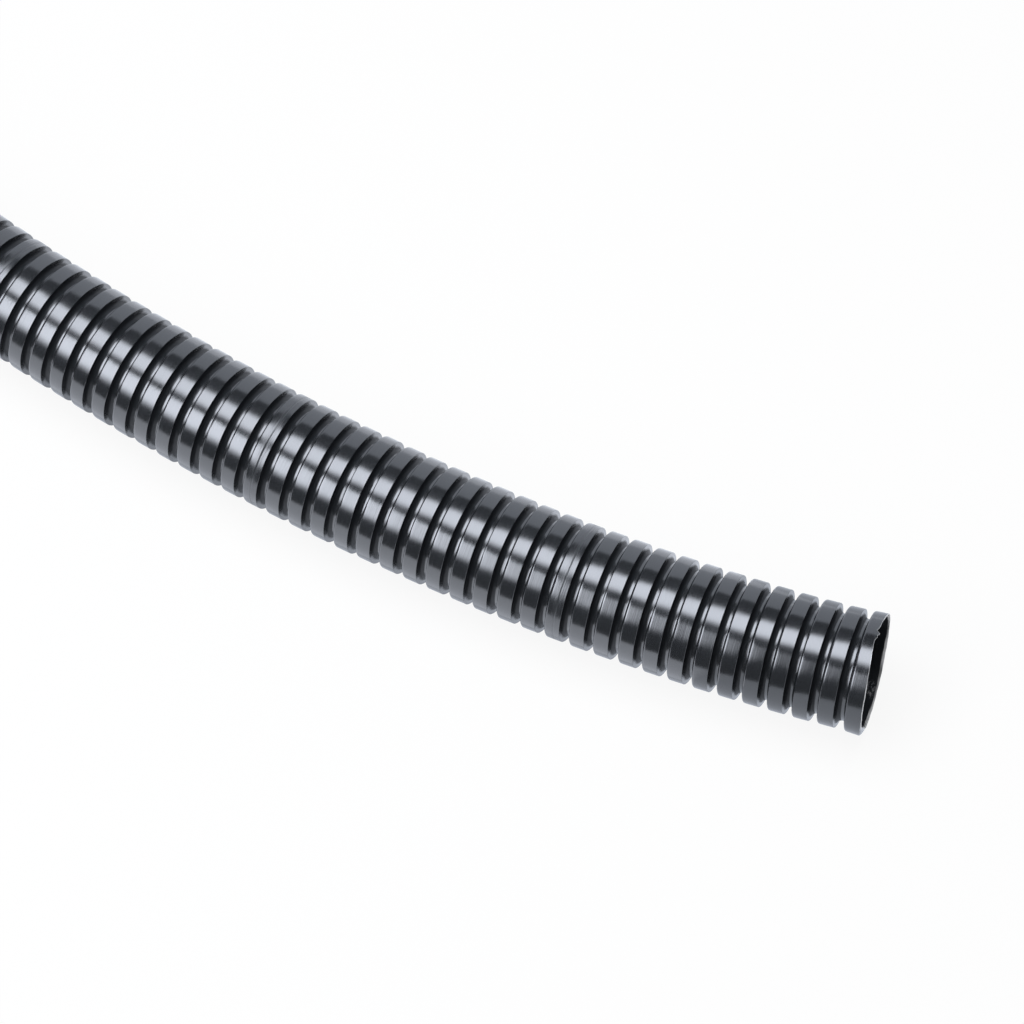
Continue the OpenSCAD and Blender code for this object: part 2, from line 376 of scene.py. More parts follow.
def crest_outline(inner):
    """One pitch of wall, from mid groove to mid groove, as rows of along and radius, a mark that
    is 1 where a seam would run, and another that is 1 on the rows that only a seam needs. Each
    flank stands on a round of the groove. The front one ends in a crisp edge, the back one in a
    round shoulder."""
    thin = WALL if inner else 0
    low, high = VALLEY_R - thin, CREST_R - thin
    front_rise = (-90, 0) if inner else (-90, -80, -54, -27, 0)
    back_rise = (-90, 0) if inner else (-90, -60, -30, 0)
    fall = (180, 90) if inner else (180, 150, 120, 90)

    def foot(flank, foot_round, rise):
        foot_round = foot_round + thin * INNER_GAIN
        return corner(flank - foot_round, low + foot_round, foot_round, rise)

    front_top = np.array([thin + FRONT_SET_BACK, high])
    if inner:
        edge = front_top[None, :]
    else:
        edge = [front_top - (0, reach * EDGE_ROUND) for reach in EDGE_ROWS]
        edge += [front_top + (reach * EDGE_ROUND, 0) for reach in EDGE_ROWS[::-1]]
    front = np.vstack([foot(thin + FRONT_SET_BACK, FRONT_FOOT_ROUND, front_rise), edge])
    back_round = max(BACK_ROUND - thin, LEAST_ROUND)
    shoulder = corner(thin + FLANK_LEAN + back_round, high - back_round, back_round, fall)
    flat_end = shoulder[-1:] + (EDGE_ROUND * 2, 0)
    back = np.vstack([foot(thin, GROOVE_ROUND, back_rise), shoulder, flat_end])[::-1]
    back = back * (-1, 1) + (CREST_WIDTH, 0)
    if inner:
        top = np.empty((0, 2))
    else:
        across = TOP_ROWS * CREST_WIDTH + CREST_WIDTH / 2
        top = np.stack([across, np.full(len(across), high)], -1)
    middle = np.array([[-GROOVE_WIDTH / 2, low]])
    line = np.vstack([middle, front, top, back])
    from_middle = np.abs(line[:, 0] - CREST_WIDTH / 2) / CREST_WIDTH
    seam = (from_middle < ON_SEAM) * (not inner) * 1.0
    return line, seam, (from_middle < BY_SEAM) * (from_middle > ON_SEAM)


def angles():
    """Angles round the hose, crowded where the nick is."""
    fine = np.linspace(0, FULL_TURN, FINE_TURNS)
    crowd = np.cumsum(1 + CROWD_GAIN * bell(turned_from(fine, NICK_AT) / CROWD_REACH))
    crowd = (crowd - crowd[0]) / (crowd[-1] - crowd[0])
    return np.interp(np.arange(AROUND) / AROUND, crowd, fine)


TURN = angles()


def wall_rows(first, last, inner):
    """Rows of the wall over the crests first to last: crest number, length along the hose, radius
    and seam mark. The hose's ends are cut square through a crest."""
    line, seam, only_seam = crest_outline(inner)
    crests = last - first + 1
    k = np.repeat(np.arange(first, last + 1), len(line))
    has_seam = (k - FIRST_SEAM) % SEAM_EVERY == 0
    needed = has_seam | ~np.tile(only_seam, crests)
    s = crest_start(k) + np.tile(line[:, 0], crests)
    r = np.tile(line[:, 1], crests)
    mark = np.tile(seam, crests) * has_seam
    k, s, r, mark = k[needed], s[needed], r[needed], mark[needed]
    top = CREST_R - (WALL if inner else 0)
    if first == 0:
        ends = BURR_ROWS if inner else BURR_ROWS[:OUTER_BURR_ROWS]
        keep = s > ends[-1] + CUT_CLEAR
        end_r = np.full(len(ends), top)
        if inner:
            end_r[0] = CREST_R - RIM_THICK
            end_r[1] = (end_r[0] + top) / 2
        k = np.concatenate([np.zeros(len(ends), int), k[keep]])
        s = np.concatenate([ends, s[keep]])
        r = np.concatenate([end_r, r[keep]])
        mark = np.concatenate([np.zeros(len(ends)), mark[keep]])
    if last == CREST_COUNT - 1:
        keep = s < HOSE_LENGTH - END_CLEAR
        k = np.append(k[keep], last)
        s = np.append(s[keep], HOSE_LENGTH)
        r = np.append(r[keep], top)
        mark = np.append(mark[keep], 0)
    else:
        k = np.append(k, last)
        s = np.append(s, crest_start(last) + CREST_WIDTH + GROOVE_WIDTH / 2)
        r = np.append(r, line[0, 1])
        mark = np.append(mark, 0)
    return k, s, r, mark


def cut_edge(turn):
    """How far the cut edge stands out of the cut's plane: waves left by the saw, a torn tooth
    beside a notch, and a wide bite where the saw wandered."""
    waves = sum(high * np.sin(count * turn + start) for high, count, start in SAW_WAVES)
    away = turned_from(turn, NICK_AT) * CREST_R / NICK_WIDTH
    teeth = sum(high * bell((away - at) * sharp) for high, at, sharp in TEETH)
    bite = bell(turned_from(turn, SAW_BITE_AT) / SAW_BITE_REACH)
    return waves * MM + NICK_REACH * teeth - SAW_BITE * bite


def saw_mouth(s, along, radius, turn, inner_side):
    """The mouth's share of the shape. The sawn crest leans by lean cos(turn - its angle), stands
    out and widens, all dying out behind the cut. The cut's edge wanders, and on one side the
    crest's front wall is a quarter round. Also gives the mark of the raw edge and its burr."""
    fade = np.exp(-((s / MOUTH_DEPTH) ** MOUTH_FALL))
    along = along + fade * (MOUTH_LEAN * np.cos(turn - MOUTH_LEAN_AT) - MOUTH_OUT)
    along = along - bell(s / SAW_WAVES_DEPTH) * cut_edge(turn)
    away = turned_from(turn, FRONT_WALL_AT) / FRONT_WALL_REACH
    behind = ramp(s, FRONT_WALL_INSIDE * inner_side, FRONT_WALL_ROUND)
    drop = FRONT_WALL * bell(away) * (1 - quarter_round(behind))
    radius = radius + fade * MOUTH_FLARE
    radius = radius - drop * (s < FRONT_WALL_DEPTH)
    burr_end = BURR_DEPTH * (1 + BURR_WAVE * np.sin(BURR_WAVES * turn + BURR_START))
    within = np.clip((burr_end - s) / BURR_FADE + 0.5, 0, 1)
    return along, radius, np.where(inner_side > 0.5, within, (s < TINY) * 1.0)


def groove_shade_mask(r, across, turn):
    """1 where the wall is dull and darker, as painted shade in the grooves between the crests'
    gloss and that of the floor, and 0 where it is glossy. The upright front faces keep their gloss
    along the two sides that the camera sees edge-on, as a painted highlight."""
    front = across < 0
    gloss_edge = np.where(front, FRONT_GLOSS, BACK_GLOSS)
    gloss_fade = np.where(front, FRONT_FADE, BACK_FADE)
    dull_shade = ramp(CREST_R - gloss_edge - r, 0, gloss_fade)
    dull_shade = dull_shade * ramp(r, VALLEY_R, np.where(front, FLOOR_FRONT, FLOOR_BACK))
    # A painted highlight: the upright front faces keep their gloss where the camera sees them
    # edge-on.
    edge_on_highlight = ramp(np.abs(np.sin(turn - SHADED_AT)), HIGHLIGHT_FROM, HIGHLIGHT_OVER)
    upright = front * (r > VALLEY_R + FRONT_FOOT_ROUND - FOOT_SLACK)
    return dull_shade * (1 - edge_on_highlight * upright)


def hose_surface(first, last):
    """Points of the wall's closed skin: out along the outside, back along the inside. Each point
    is the line's point plus radius times (cos turn side + sin turn up). A crest may lean by
    tilt cos(turn - its angle), be oval by cos 2(turn - its angle), dip at its seam, and its top
    is crowned by a parabola. The last few crests bend aside towards the mouth. Also gives the
    place of each point on the hose laid straight, and the fields that the plastic reads."""
    outer = wall_rows(first, last, False)
    inner = tuple(row[::-1] for row in wall_rows(first, last, True))
    k, s, r, mark = (np.concatenate(pair)[:, None] for pair in zip(outer, inner))
    turn = TURN[None, :]
    inner_side = (np.arange(len(s)) >= len(outer[0])).astype(float)[:, None] + 0 * turn
    free = ramp(s, UNEVEN_FROM, UNEVEN_OVER) * ramp(HOSE_LENGTH - EVEN_BEFORE_END - s, 0, EVEN_OVER)
    along = s + free * (CREST_SHIFT[k] + CREST_TILT[k] * np.cos(turn - CREST_TILT_AT[k]))
    oval = free * CREST_OVAL[k] * np.cos(2 * (turn - CREST_OVAL_AT[k])) * (r > VALLEY_R)
    across = (s - crest_start(k)) / CREST_WIDTH * 2 - 1
    on_top = (r >= CREST_R - TINY) & (inner_side < 0.5)
    radius = r + oval - CROWN * across**2 * on_top - SEAM_DEPTH * mark
    burr = 0 * turn * s
    if first == 0:
        along, radius, burr = saw_mouth(s, along, radius, turn, inner_side)
    point, heading, side, up = on_line(along)
    spoke = np.cos(turn)[..., None] * side + np.sin(turn)[..., None] * up
    bend = END_BEND * bell(along / END_BEND_REACH)[..., None] * (first == 0)
    place = point + radius[..., None] * spoke
    place = place + bend * (math.cos(END_BEND_AT) * side + math.sin(END_BEND_AT) * up)
    has_seam = (k - FIRST_SEAM) % SEAM_EVERY == 0
    seam = has_seam * np.clip(SEAM_BAND - np.abs(across) * 2, 0, 1) * (1 - inner_side)
    straight = np.stack([along, radius * np.cos(turn), radius * np.sin(turn)], -1)
    groove = groove_shade_mask(r, across, turn)
    return place, straight, {"inside": inner_side, "cut": burr, "groove": groove, "seam": seam}


def add_hose(name, first, last):
    """A length of hose, and the fields that its plastic reads."""
    place, straight, fields = hose_surface(first, last)
    rows, columns = place.shape[:2]
    piece = add_mesh(name, place, grid_quads(rows, columns))
    add_field(piece, "straight", straight, "FLOAT_VECTOR")
    for field, values in fields.items():
        add_field(piece, field, values)
    return piece


def line_between(low, high, step=4 * MM):
    """Points along the hose's line, from one length to another."""
    return on_line(np.linspace(low, high, int(abs(high - low) / step) + 2))[0].tolist()


JOIN_AT = crest_start(FRONT_CRESTS - 1) + CREST_WIDTH + GROOVE_WIDTH / 2

hose_front = add_hose("hose_front_length", 0, FRONT_CRESTS - 1)
hose_back = add_hose("hose_back_length", FRONT_CRESTS, CREST_COUNT - 1)
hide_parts("hose_cut_end", "hose_run")
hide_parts("hose_tail")
for length in (hose_front, hose_back):
    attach(length, "hose")
back_path = line_between(HOSE_LENGTH, JOIN_AT)
front_path = line_between(JOIN_AT, 0)
HOSE_LENGTH - JOIN_AT

# ---- The cuff's turned pieces ----

# Sizes of the cuff, as in the part's source: stations from the hose's hidden end towards the
# socket's mouth, then radii. RUN_GAP is the clearance of what turns, SNUG of what sits tight.
RUN_GAP = 0.08 * MM
SNUG = 0.05 * MM
GRIP_GAP = 0.15 * MM
RIM_BACK = ring_low.y - TAIL_END
BELL_BACK = cuff_low.y - TAIL_END
CUFF_MOUTH = cuff_high.y - TAIL_END
GRIP_BACK = RIM_BACK - 3.0 * MM
SLEEVE_FRONT = BELL_BACK + 12.0 * MM
SNAP_AT = (BELL_BACK + SLEEVE_FRONT) / 2
THRUST_BACK = SLEEVE_FRONT + 0.4 * MM
THRUST_FRONT = THRUST_BACK + 3.0 * MM
JOURNAL_BACK, JOURNAL_FRONT = -6.6 * MM, 2.4 * MM
SEAL_AT, SEAL_GROOVE, SEAL_R = -2.1 * MM, 2.7 * MM, 1.3 * MM
SEAL_BACK, SEAL_FRONT = SEAL_AT - SEAL_GROOVE / 2, SEAL_AT + SEAL_GROOVE / 2
STOP_BACK, STOP_FRONT = 2.8 * MM, 4.8 * MM
SHOULDER_END = 14.8 * MM
SOCKET_R, SOCKET_OUT_R, BEAD_R, STOP_R = 19.0 * MM, 21.8 * MM, 23.0 * MM, 17.5 * MM
BEAD_BACK = CUFF_MOUTH - 3.5 * MM
RIB_COUNT, RIB_R, RIB_RISE = 24, 1.3 * MM, 0.8 * MM
BELL_OUT_R = cuff_high.z - CUFF_Z - RIB_RISE
BELL_IN_R = BELL_OUT_R - 2.0 * MM
FLANGE_R = BELL_IN_R - RUN_GAP
NECK_R = FLANGE_R - 1.8 * MM
SEAL_SEAT_R = BELL_IN_R - 2 * SEAL_R - SNUG
SHELL_IN_R = CREST_R + GRIP_GAP
GRIP_RIB_R = VALLEY_R + GRIP_GAP
GRIP_RIB_COUNT, GRIP_RIB_SLOPE, GRIP_RIB_ROUND = 4, 0.5 * MM, 0.2 * MM
LIP_R = 19.15 * MM
NOTCH_COUNT, NOTCH_R, NOTCH_DEPTH = 18, 1.9 * MM, 0.6 * MM
SLEEVE_R = BELL_IN_R - SNUG
SNAP_R = BELL_IN_R + 0.5 * MM
RING_IN_R = NECK_R + RUN_GAP

# Half the angle between the two grip shells. How far past a rounded corner the flat is held.
SHELL_GAP = 0.003
FLAT_FROM = 1.4

# Turns at which a rib and a notch have points, in degrees from its middle. They crowd at its
# sides.
RIB_TURNS = (
    -7.5, -5.2, -3.4, -2.5, -2.33, -2.1, -1.5, -0.75, 0, 0.75, 1.5, 2.1, 2.33, 2.5, 3.4, 5.2,
)
NOTCH_TURNS = (
    -10, -6.5, -3.6, -2.85, -2.68, -2.4, -1.7, -0.85, 0, 0.85, 1.7, 2.4, 2.68, 2.85, 3.6, 6.5,
)
HALF_TURNS, SEAL_TURNS, SEAL_SIDES = 73, 144, 20


def rounded(corners, steps=4):
    """A closed outline of along and radius. Each corner is given as along, radius and reach, and
    is cut by a parabola that starts and ends that reach away from it. A point just beyond each
    end keeps the flats flat."""
    corners = np.array(corners, float)
    point, reach = corners[:, :2], corners[:, 2:]
    before = np.roll(point, 1, axis=0) - point
    after = np.roll(point, -1, axis=0) - point
    before /= np.linalg.norm(before, axis=1, keepdims=True)
    after /= np.linalg.norm(after, axis=1, keepdims=True)
    t = np.linspace(0, 1, steps + 1)[None, :, None]
    start, end = (point + reach * before)[:, None], (point + reach * after)[:, None]
    bend = (1 - t) ** 2 * start + 2 * t * (1 - t) * point[:, None] + t**2 * end
    lead = (point + FLAT_FROM * reach * before)[:, None]
    trail = (point + FLAT_FROM * reach * after)[:, None]
    rows = np.concatenate([lead, bend, trail], axis=1)
    keep = np.ones(rows.shape[:2], bool)
    keep[reach[:, 0] == 0, 1:] = False
    return rows[keep]


def turns_of(count, offsets):
    """Turns round a piece with count equal features, at the offsets in degrees from each."""
    degrees = np.arange(count)[:, None] * 360 / count + np.array(offsets)[None, :]
    return np.radians(degrees.ravel())


def add_turned(name, outline, turn, swell=None, half=False):
    """A turned piece. Its point is the cuff's axis at along, plus radius times (cos turn across,
    sin turn up), where swell(along, radius, turn) adds to the radius. A half has flat ends. Its
    plastic reads how far each point stands out, as a share of a rib's height."""
    along, radius = outline[:, 0][:, None], outline[:, 1][:, None]
    turn = turn[None, :]
    added = swell(along, radius, turn) if swell else 0 * turn
    r = radius + added
    x, z = CUFF_X + r * np.cos(turn), CUFF_Z + r * np.sin(turn)
    place = np.stack([x, TAIL_END + along + 0 * r, z], -1)
    rows, columns = place.shape[:2]
    caps = ()
    if half:
        first = np.arange(rows) * columns
        caps = (first.tolist(), (first + columns - 1)[::-1].tolist())
    piece = add_mesh(name, place, grid_quads(rows, columns, not half), caps)
    add_field(piece, "raised", np.clip(added / RIB_RISE, 0, 1) + 0 * r)
    return piece


def finger_ribs(along, radius, turn):
    """Height of the ribs on the bell: each is a slice of a circle across, sqrt(R^2 - across^2)
    less what lies under the bell, with a quarter round at each end."""
    across = turned_from(RIB_COUNT * turn, 0) / RIB_COUNT * BELL_OUT_R
    back = np.sqrt(np.clip(RIB_R**2 - across**2, 0, None)) - (RIB_R - RIB_RISE)
    start, stop = BELL_BACK + RIB_R, STOP_BACK - RIB_R
    end = quarter_round(ramp(np.minimum(along - start, stop - along), 0, RIB_R))
    return np.clip(back, 0, None) * end * (radius > BELL_OUT_R - TINY)


def rim_notches(along, radius, turn):
    """Depth of the thumb notches in the ring's rim: each is a round cut along the axis, whose
    near side is at centre cos(across) - sqrt(R^2 - (centre sin(across))^2) from the axis."""
    across = turned_from(NOTCH_COUNT * turn, 0) / NOTCH_COUNT
    centre = BELL_OUT_R - NOTCH_DEPTH + NOTCH_R
    inside = np.clip(NOTCH_R**2 - (centre * np.sin(across)) ** 2, 0, None)
    beyond = 1.0
    floor = np.where(inside > 0, centre * np.cos(across) - np.sqrt(inside), beyond)
    on_rim = (radius > BELL_OUT_R - 2 * NOTCH_DEPTH) & (along < BELL_BACK + TINY)
    return np.where(on_rim, np.minimum(floor - radius, 0), 0)


rib_run = np.array([0, 0.1, 0.35, 0.75, 1.3]) * MM
rib_rows = np.concatenate([BELL_BACK + RIB_R + rib_run, (STOP_BACK - RIB_R - rib_run)[::-1]])
cuff_outline = rounded(
    [(BELL_BACK, BELL_IN_R, 0.25 * MM), (BELL_BACK, BELL_OUT_R, 0.45 * MM)]
    + [(at, BELL_OUT_R, 0) for at in rib_rows]
    + [
        (STOP_BACK, BELL_OUT_R, 1.2 * MM), (SHOULDER_END, SOCKET_OUT_R, 2.2 * MM),
        (BEAD_BACK, SOCKET_OUT_R, 0.4 * MM), (BEAD_BACK + 0.5 * MM, BEAD_R, 0.5 * MM),
        (CUFF_MOUTH, BEAD_R, 1.1 * MM), (CUFF_MOUTH, SOCKET_R + 0.6 * MM, 0.5 * MM),
        (CUFF_MOUTH - 1.0 * MM, SOCKET_R, 0.4 * MM), (STOP_FRONT, SOCKET_R, 0.3 * MM),
        (STOP_FRONT, STOP_R, 0.35 * MM), (STOP_BACK, STOP_R, 0.35 * MM),
        (STOP_BACK, BELL_IN_R, 0.3 * MM),
    ]
)
cuff_body = add_turned("cuff_body", cuff_outline, turns_of(RIB_COUNT, RIB_TURNS), finger_ribs)

ring_outline = rounded(
    [
        (RIM_BACK, RING_IN_R, 0.3 * MM), (RIM_BACK, BELL_OUT_R, 0.6 * MM),
        (BELL_BACK, BELL_OUT_R, 0.3 * MM), (BELL_BACK, SLEEVE_R, 0.1 * MM),
        (SNAP_AT - 1.0 * MM, SLEEVE_R, 0.1 * MM), (SNAP_AT - 0.5 * MM, SNAP_R, 0.1 * MM),
        (SNAP_AT + 0.5 * MM, SNAP_R, 0.1 * MM), (SNAP_AT + 1.0 * MM, SLEEVE_R, 0.1 * MM),
        (SLEEVE_FRONT, SLEEVE_R, 0.3 * MM), (SLEEVE_FRONT, RING_IN_R, 0.3 * MM),
    ]
)
snap_ring = add_turned(
    "snap_ring", ring_outline, turns_of(NOTCH_COUNT, NOTCH_TURNS), rim_notches
)


def grip_rib(k):
    """Corners of the shells' inner rib that sits in the hose's groove k from its hidden end."""
    front = -k * PITCH - CREST_WIDTH - GRIP_GAP
    back = -(k + 1) * PITCH + GRIP_GAP
    return [
        (front, SHELL_IN_R, 0), (front - GRIP_RIB_SLOPE, GRIP_RIB_R, GRIP_RIB_ROUND),
        (back + GRIP_RIB_SLOPE, GRIP_RIB_R, GRIP_RIB_ROUND), (back, SHELL_IN_R, 0),
    ]


shell_outline = rounded(
    [
        (GRIP_BACK, SHELL_IN_R, 0.3 * MM), (GRIP_BACK, NECK_R, 0.5 * MM),
        (THRUST_BACK, NECK_R, 0.2 * MM), (THRUST_BACK, FLANGE_R, 0.3 * MM),
        (THRUST_FRONT, FLANGE_R, 0.3 * MM), (THRUST_FRONT, NECK_R, 0.2 * MM),
        (JOURNAL_BACK, NECK_R, 0.2 * MM), (JOURNAL_BACK, FLANGE_R, 0.3 * MM),
        (SEAL_BACK, FLANGE_R, 0.2 * MM), (SEAL_BACK, SEAL_SEAT_R, 0.2 * MM),
        (SEAL_FRONT, SEAL_SEAT_R, 0.2 * MM), (SEAL_FRONT, FLANGE_R, 0.2 * MM),
        (JOURNAL_FRONT, FLANGE_R, 0.3 * MM), (JOURNAL_FRONT, LIP_R, 0.4 * MM),
        (GRIP_GAP, LIP_R, 0.3 * MM), (GRIP_GAP, SHELL_IN_R, 0),
    ]
    + [corner_of_rib for k in range(GRIP_RIB_COUNT) for corner_of_rib in grip_rib(k)],
    steps=3,
)
half_turn = np.linspace(SHELL_GAP, math.pi - SHELL_GAP, HALF_TURNS)
shell_upper = add_turned("shell_upper", shell_outline, half_turn, half=True)
shell_lower = add_turned("shell_lower", shell_outline, half_turn + math.pi, half=True)

section = np.linspace(0, FULL_TURN, SEAL_SIDES, endpoint=False)
section_r = BELL_IN_R - SNUG - SEAL_R + SEAL_R * np.sin(section)
seal_outline = np.stack([SEAL_AT + SEAL_R * np.cos(section), section_r], -1)
seal_turns = np.linspace(0, FULL_TURN, SEAL_TURNS, endpoint=False)
seal_ring = add_turned("seal_ring", seal_outline, seal_turns)

for piece, node, body, slot in (
    (cuff_body, "swivel_cuff", "cuff", "cuff_plastic"),
    (snap_ring, "retaining_ring", "cuff", "ring_plastic"),
    (shell_upper, "grip_shell_upper", "hose", "shell_plastic"),
    (shell_lower, "grip_shell_lower", "hose", "shell_plastic"),
    (seal_ring, "ring_seal", "hose", "seal_rubber"),
):
    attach(piece, body)
    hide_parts(node)

# ---- Shader maths ----


class Wire:
    """One output of a node. Sums, differences and products of wires add Math nodes."""

    def __init__(self, paint, socket):
        self.paint = paint
        self.socket = socket

    def _math(self, operation, first, second):
        return self.paint.node("ShaderNodeMath", {"operation": operation}, {0: first, 1: second})[0]

    def __add__(self, other):
        return self._math("ADD", self, other)

    __radd__ = __add__

    def __sub__(self, other):
        return self._math("SUBTRACT", self, other)

    def __rsub__(self, other):
        return self._math("SUBTRACT", other, self)

    def __mul__(self, other):
        return self._math("MULTIPLY", self, other)

    __rmul__ = __mul__


# Numbers of a Mix node's colour sockets.
COLOUR_A, COLOUR_B, COLOUR_OUT = 6, 7, 2


class Paint:
    """A node tree, with one method that adds any node to it."""

    def __init__(self, owner):
        owner.use_nodes = True
        self.tree = owner.node_tree

    def node(self, kind, settings=None, inputs=None):
        """Adds a node, sets it, then fills its sockets with values or wires. Gives its outputs."""
        made = self.tree.nodes.new(kind)
        for name, value in (settings or {}).items():
            setattr(made, name, value)
        for key, value in (inputs or {}).items():
            self.fill(made.inputs[key], value)
        return Outputs(self, made)

    def fill(self, socket, value):
        """Links a wire to a socket, or sets the socket to a value."""
        if isinstance(value, Wire):
            self.tree.links.new(value.socket, socket)
        else:
            socket.default_value = value

    def field(self, name, vector=False):
        """A value or vector kept on the mesh's points."""
        made = self.node("ShaderNodeAttribute", {"attribute_name": name})
        return made["Vector" if vector else "Fac"]

    def step(self, value, low, high):
        """0 below low, 1 above high, smooth between."""
        return self.node(
            "ShaderNodeMapRange", {"interpolation_type": "SMOOTHSTEP"},
            {"Value": value, "From Min": low, "From Max": high},
        )[0]

    def stretch(self, vector, scale):
        """A vector times a scale for each axis."""
        inputs = {"Vector": vector, "Scale": scale}
        return self.node("ShaderNodeMapping", {"vector_type": "POINT"}, inputs)[0]

    def noise(self, vector, scale, detail=2.0, roughness=0.5):
        """Noise about 0.5 on a vector."""
        return self.node(
            "ShaderNodeTexNoise", {},
            {"Vector": vector, "Scale": scale, "Detail": detail, "Roughness": roughness},
        )[0]

    def mix(self, share, first, second):
        """Colour first where share is 0, second where it is 1."""
        colours = {"Factor": share, COLOUR_A: first, COLOUR_B: second}
        return self.node("ShaderNodeMix", {"data_type": "RGBA"}, colours)[COLOUR_OUT]

    def bump(self, height, strength, distance, normal=None):
        """A normal tilted by the slope of height, on top of another normal where one is given."""
        inputs = {"Height": height, "Strength": strength, "Distance": distance}
        if normal is not None:
            inputs["Normal"] = normal
        return self.node("ShaderNodeBump", {}, inputs)[0]


class Outputs:
    """A node's outputs as wires, by name or number."""

    def __init__(self, paint, node):
        self.paint = paint
        self.node = node

    def __getitem__(self, key):
        return Wire(self.paint, self.node.outputs[key])


def clear_paint(owner):
    """A painter for a material or world, with no node in it yet."""
    paint = Paint(owner)
    paint.tree.nodes.clear()
    return paint


def plastic(name, constants):
    """A Principled material with its constant sockets set."""
    material = bpy.data.materials.new(name)
    paint = Paint(material)
    skin = paint.tree.nodes["Principled BSDF"]
    for key, value in constants.items():
        skin.inputs[key].default_value = value
    return material, paint, skin


# ---- Finishes ----

# Colours, at which a matt patch in plain light shows about as written.
BLACK_LOW, BLACK_HIGH = (0.0095, 0.011, 0.0135, 1), (0.0145, 0.017, 0.02, 1)
SAWN_PALE = (0.84, 0.85, 0.86, 1)
SWARF_GREY = (0.32, 0.32, 0.33, 1)

# Depths that the bumps stand for: turning marks and slow waves on the hose, grain on the cuff.
MARK_DEPTH, WAVE_DEPTH, GRAIN_DEPTH = 0.04 * MM, 0.16 * MM, 0.05 * MM

# The swarf's patch: its edge and the radius inside which it is full.
SWARF_EDGE, SWARF_FULL = 5.2 * MM, 3.0 * MM

# How much of the dull, darker plastic shows in a groove as painted shade, and how much the parting
# line is roughened.
GROOVE_SHADE_SHARE = 0.85
SEAM_RELIEF = 2.8


def hose_plastic():
    """Black blow-moulded plastic: glossy crests with fine turning marks of the mould and slow
    waves, rougher where two halves of the mould met, and a saw-cut edge gone pale. The grooves and
    the inside are dull and darker, as painted shade, and the inside has some swarf near the mouth."""
    material, paint, shine = plastic("hose_plastic", {"IOR": 2.0})
    straight = paint.field("straight", vector=True)
    inside = paint.field("inside")
    cut = paint.field("cut")
    groove = paint.field("groove")
    seam = paint.field("seam")

    def mottle(along, across, detail, roughness=0.5):
        """Noise with so many waves a metre along the hose and across it."""
        stretched = paint.stretch(straight, (along, across, across))
        return paint.noise(stretched, 1.0, detail, roughness)

    marks = mottle(2600, 26, 3.0, 0.65)
    scores = mottle(1100, 160, 3.0, 0.6)
    waves = mottle(150, 60, 1.5)
    slow = mottle(60, 60, 2.0)
    crumbs = mottle(1500, 900, 3.0, 0.7)
    swarf_at = (SWARF_DEPTH, VALLEY_R * math.cos(SWARF_AT), VALLEY_R * math.sin(SWARF_AT))
    far = paint.node(
        "ShaderNodeVectorMath", {"operation": "DISTANCE"}, {0: straight, 1: swarf_at}
    )["Value"]
    swarf = paint.step(far, SWARF_EDGE, SWARF_FULL) * paint.step(crumbs, 0.5, 0.64) * inside
    edge = paint.step(cut, 0.1, 0.9) * (0.35 + 0.65 * paint.step(slow, 0.35, 0.5))
    black = paint.mix(slow, BLACK_LOW, BLACK_HIGH)
    skin = paint.mix(swarf, paint.mix(edge, black, SAWN_PALE), SWARF_GREY)
    relief = marks + SEAM_RELIEF * seam * scores
    normal = paint.bump(relief, 0.85, MARK_DEPTH, paint.bump(waves, 1.0, WAVE_DEPTH))
    paint.fill(shine.inputs["Base Color"], skin)
    paint.fill(shine.inputs["Roughness"], 0.1 + 0.1 * marks + 0.05 * slow + 0.11 * seam)
    paint.fill(shine.inputs["Normal"], normal)
    # A dull plastic of low IOR, far darker in reflection than the glossy one: painted shade for the
    # grooves and the inside.
    dull_shade = paint.node(
        "ShaderNodeBsdfPrincipled", {}, {"Base Color": skin, "IOR": 1.25, "Roughness": 0.6}
    )[0]
    # The inside takes the dull, darker plastic fully and the grooves mostly: painted shade.
    share = inside + GROOVE_SHADE_SHARE * groove * (1 - inside)
    both = paint.node(
        "ShaderNodeMixShader", {}, {0: share, 1: Wire(paint, shine.outputs[0]), 2: dull_shade}
    )[0]
    paint.fill(paint.tree.nodes["Material Output"].inputs["Surface"], both)
    return material


hose_skin = hose_plastic()
for length in (hose_front, hose_back):
    length.data.materials.append(hose_skin)


def moulded_plastic(name, colour, roughness, grain, polish=0.0):
    """Injection-moulded plastic with a fine eroded grain. What stands out is worn paler, and
    polished by hands where polish says so."""
    material, paint, skin = plastic(name, {"IOR": 1.5})
    place = paint.node("ShaderNodeTexCoord")["Object"]
    raised = paint.step(paint.field("raised"), 0.55, 1.0)
    fine = paint.noise(place, 3600, 3.0, 0.6)
    slow = paint.noise(place, 90, 2.0)
    streaks = paint.noise(paint.stretch(place, (500, 120, 500)), 1.0, 4.0, 0.7)
    scuffs = paint.step(streaks, 0.58, 0.7)
    dark, light, worn = (tuple(c * share for c in colour) + (1,) for share in (0.8, 1.25, 1.9))
    base = paint.mix(slow, dark, light)
    paint.fill(skin.inputs["Base Color"], paint.mix(raised * (0.25 + 0.5 * scuffs), base, worn))
    rough = roughness + 0.12 * slow + 0.06 * fine - polish * raised + 0.1 * scuffs
    paint.fill(skin.inputs["Roughness"], rough)
    paint.fill(skin.inputs["Normal"], paint.bump(fine, grain, GRAIN_DEPTH))
    return material


for piece, skin in (
    (cuff_body, moulded_plastic("cuff_plastic", (0.032, 0.0345, 0.0385), 0.36, 0.45, 0.14)),
    (snap_ring, moulded_plastic("ring_plastic", (0.136, 0.144, 0.157), 0.3, 0.2)),
    (shell_upper, moulded_plastic("shell_plastic", (0.16, 0.166, 0.176), 0.4, 0.3)),
    (seal_ring, moulded_plastic("seal_rubber", (0.022, 0.022, 0.022), 0.5, 0.15)),
):
    piece.data.materials.append(skin)
shell_lower.data.materials.append(shell_upper.data.materials[0])

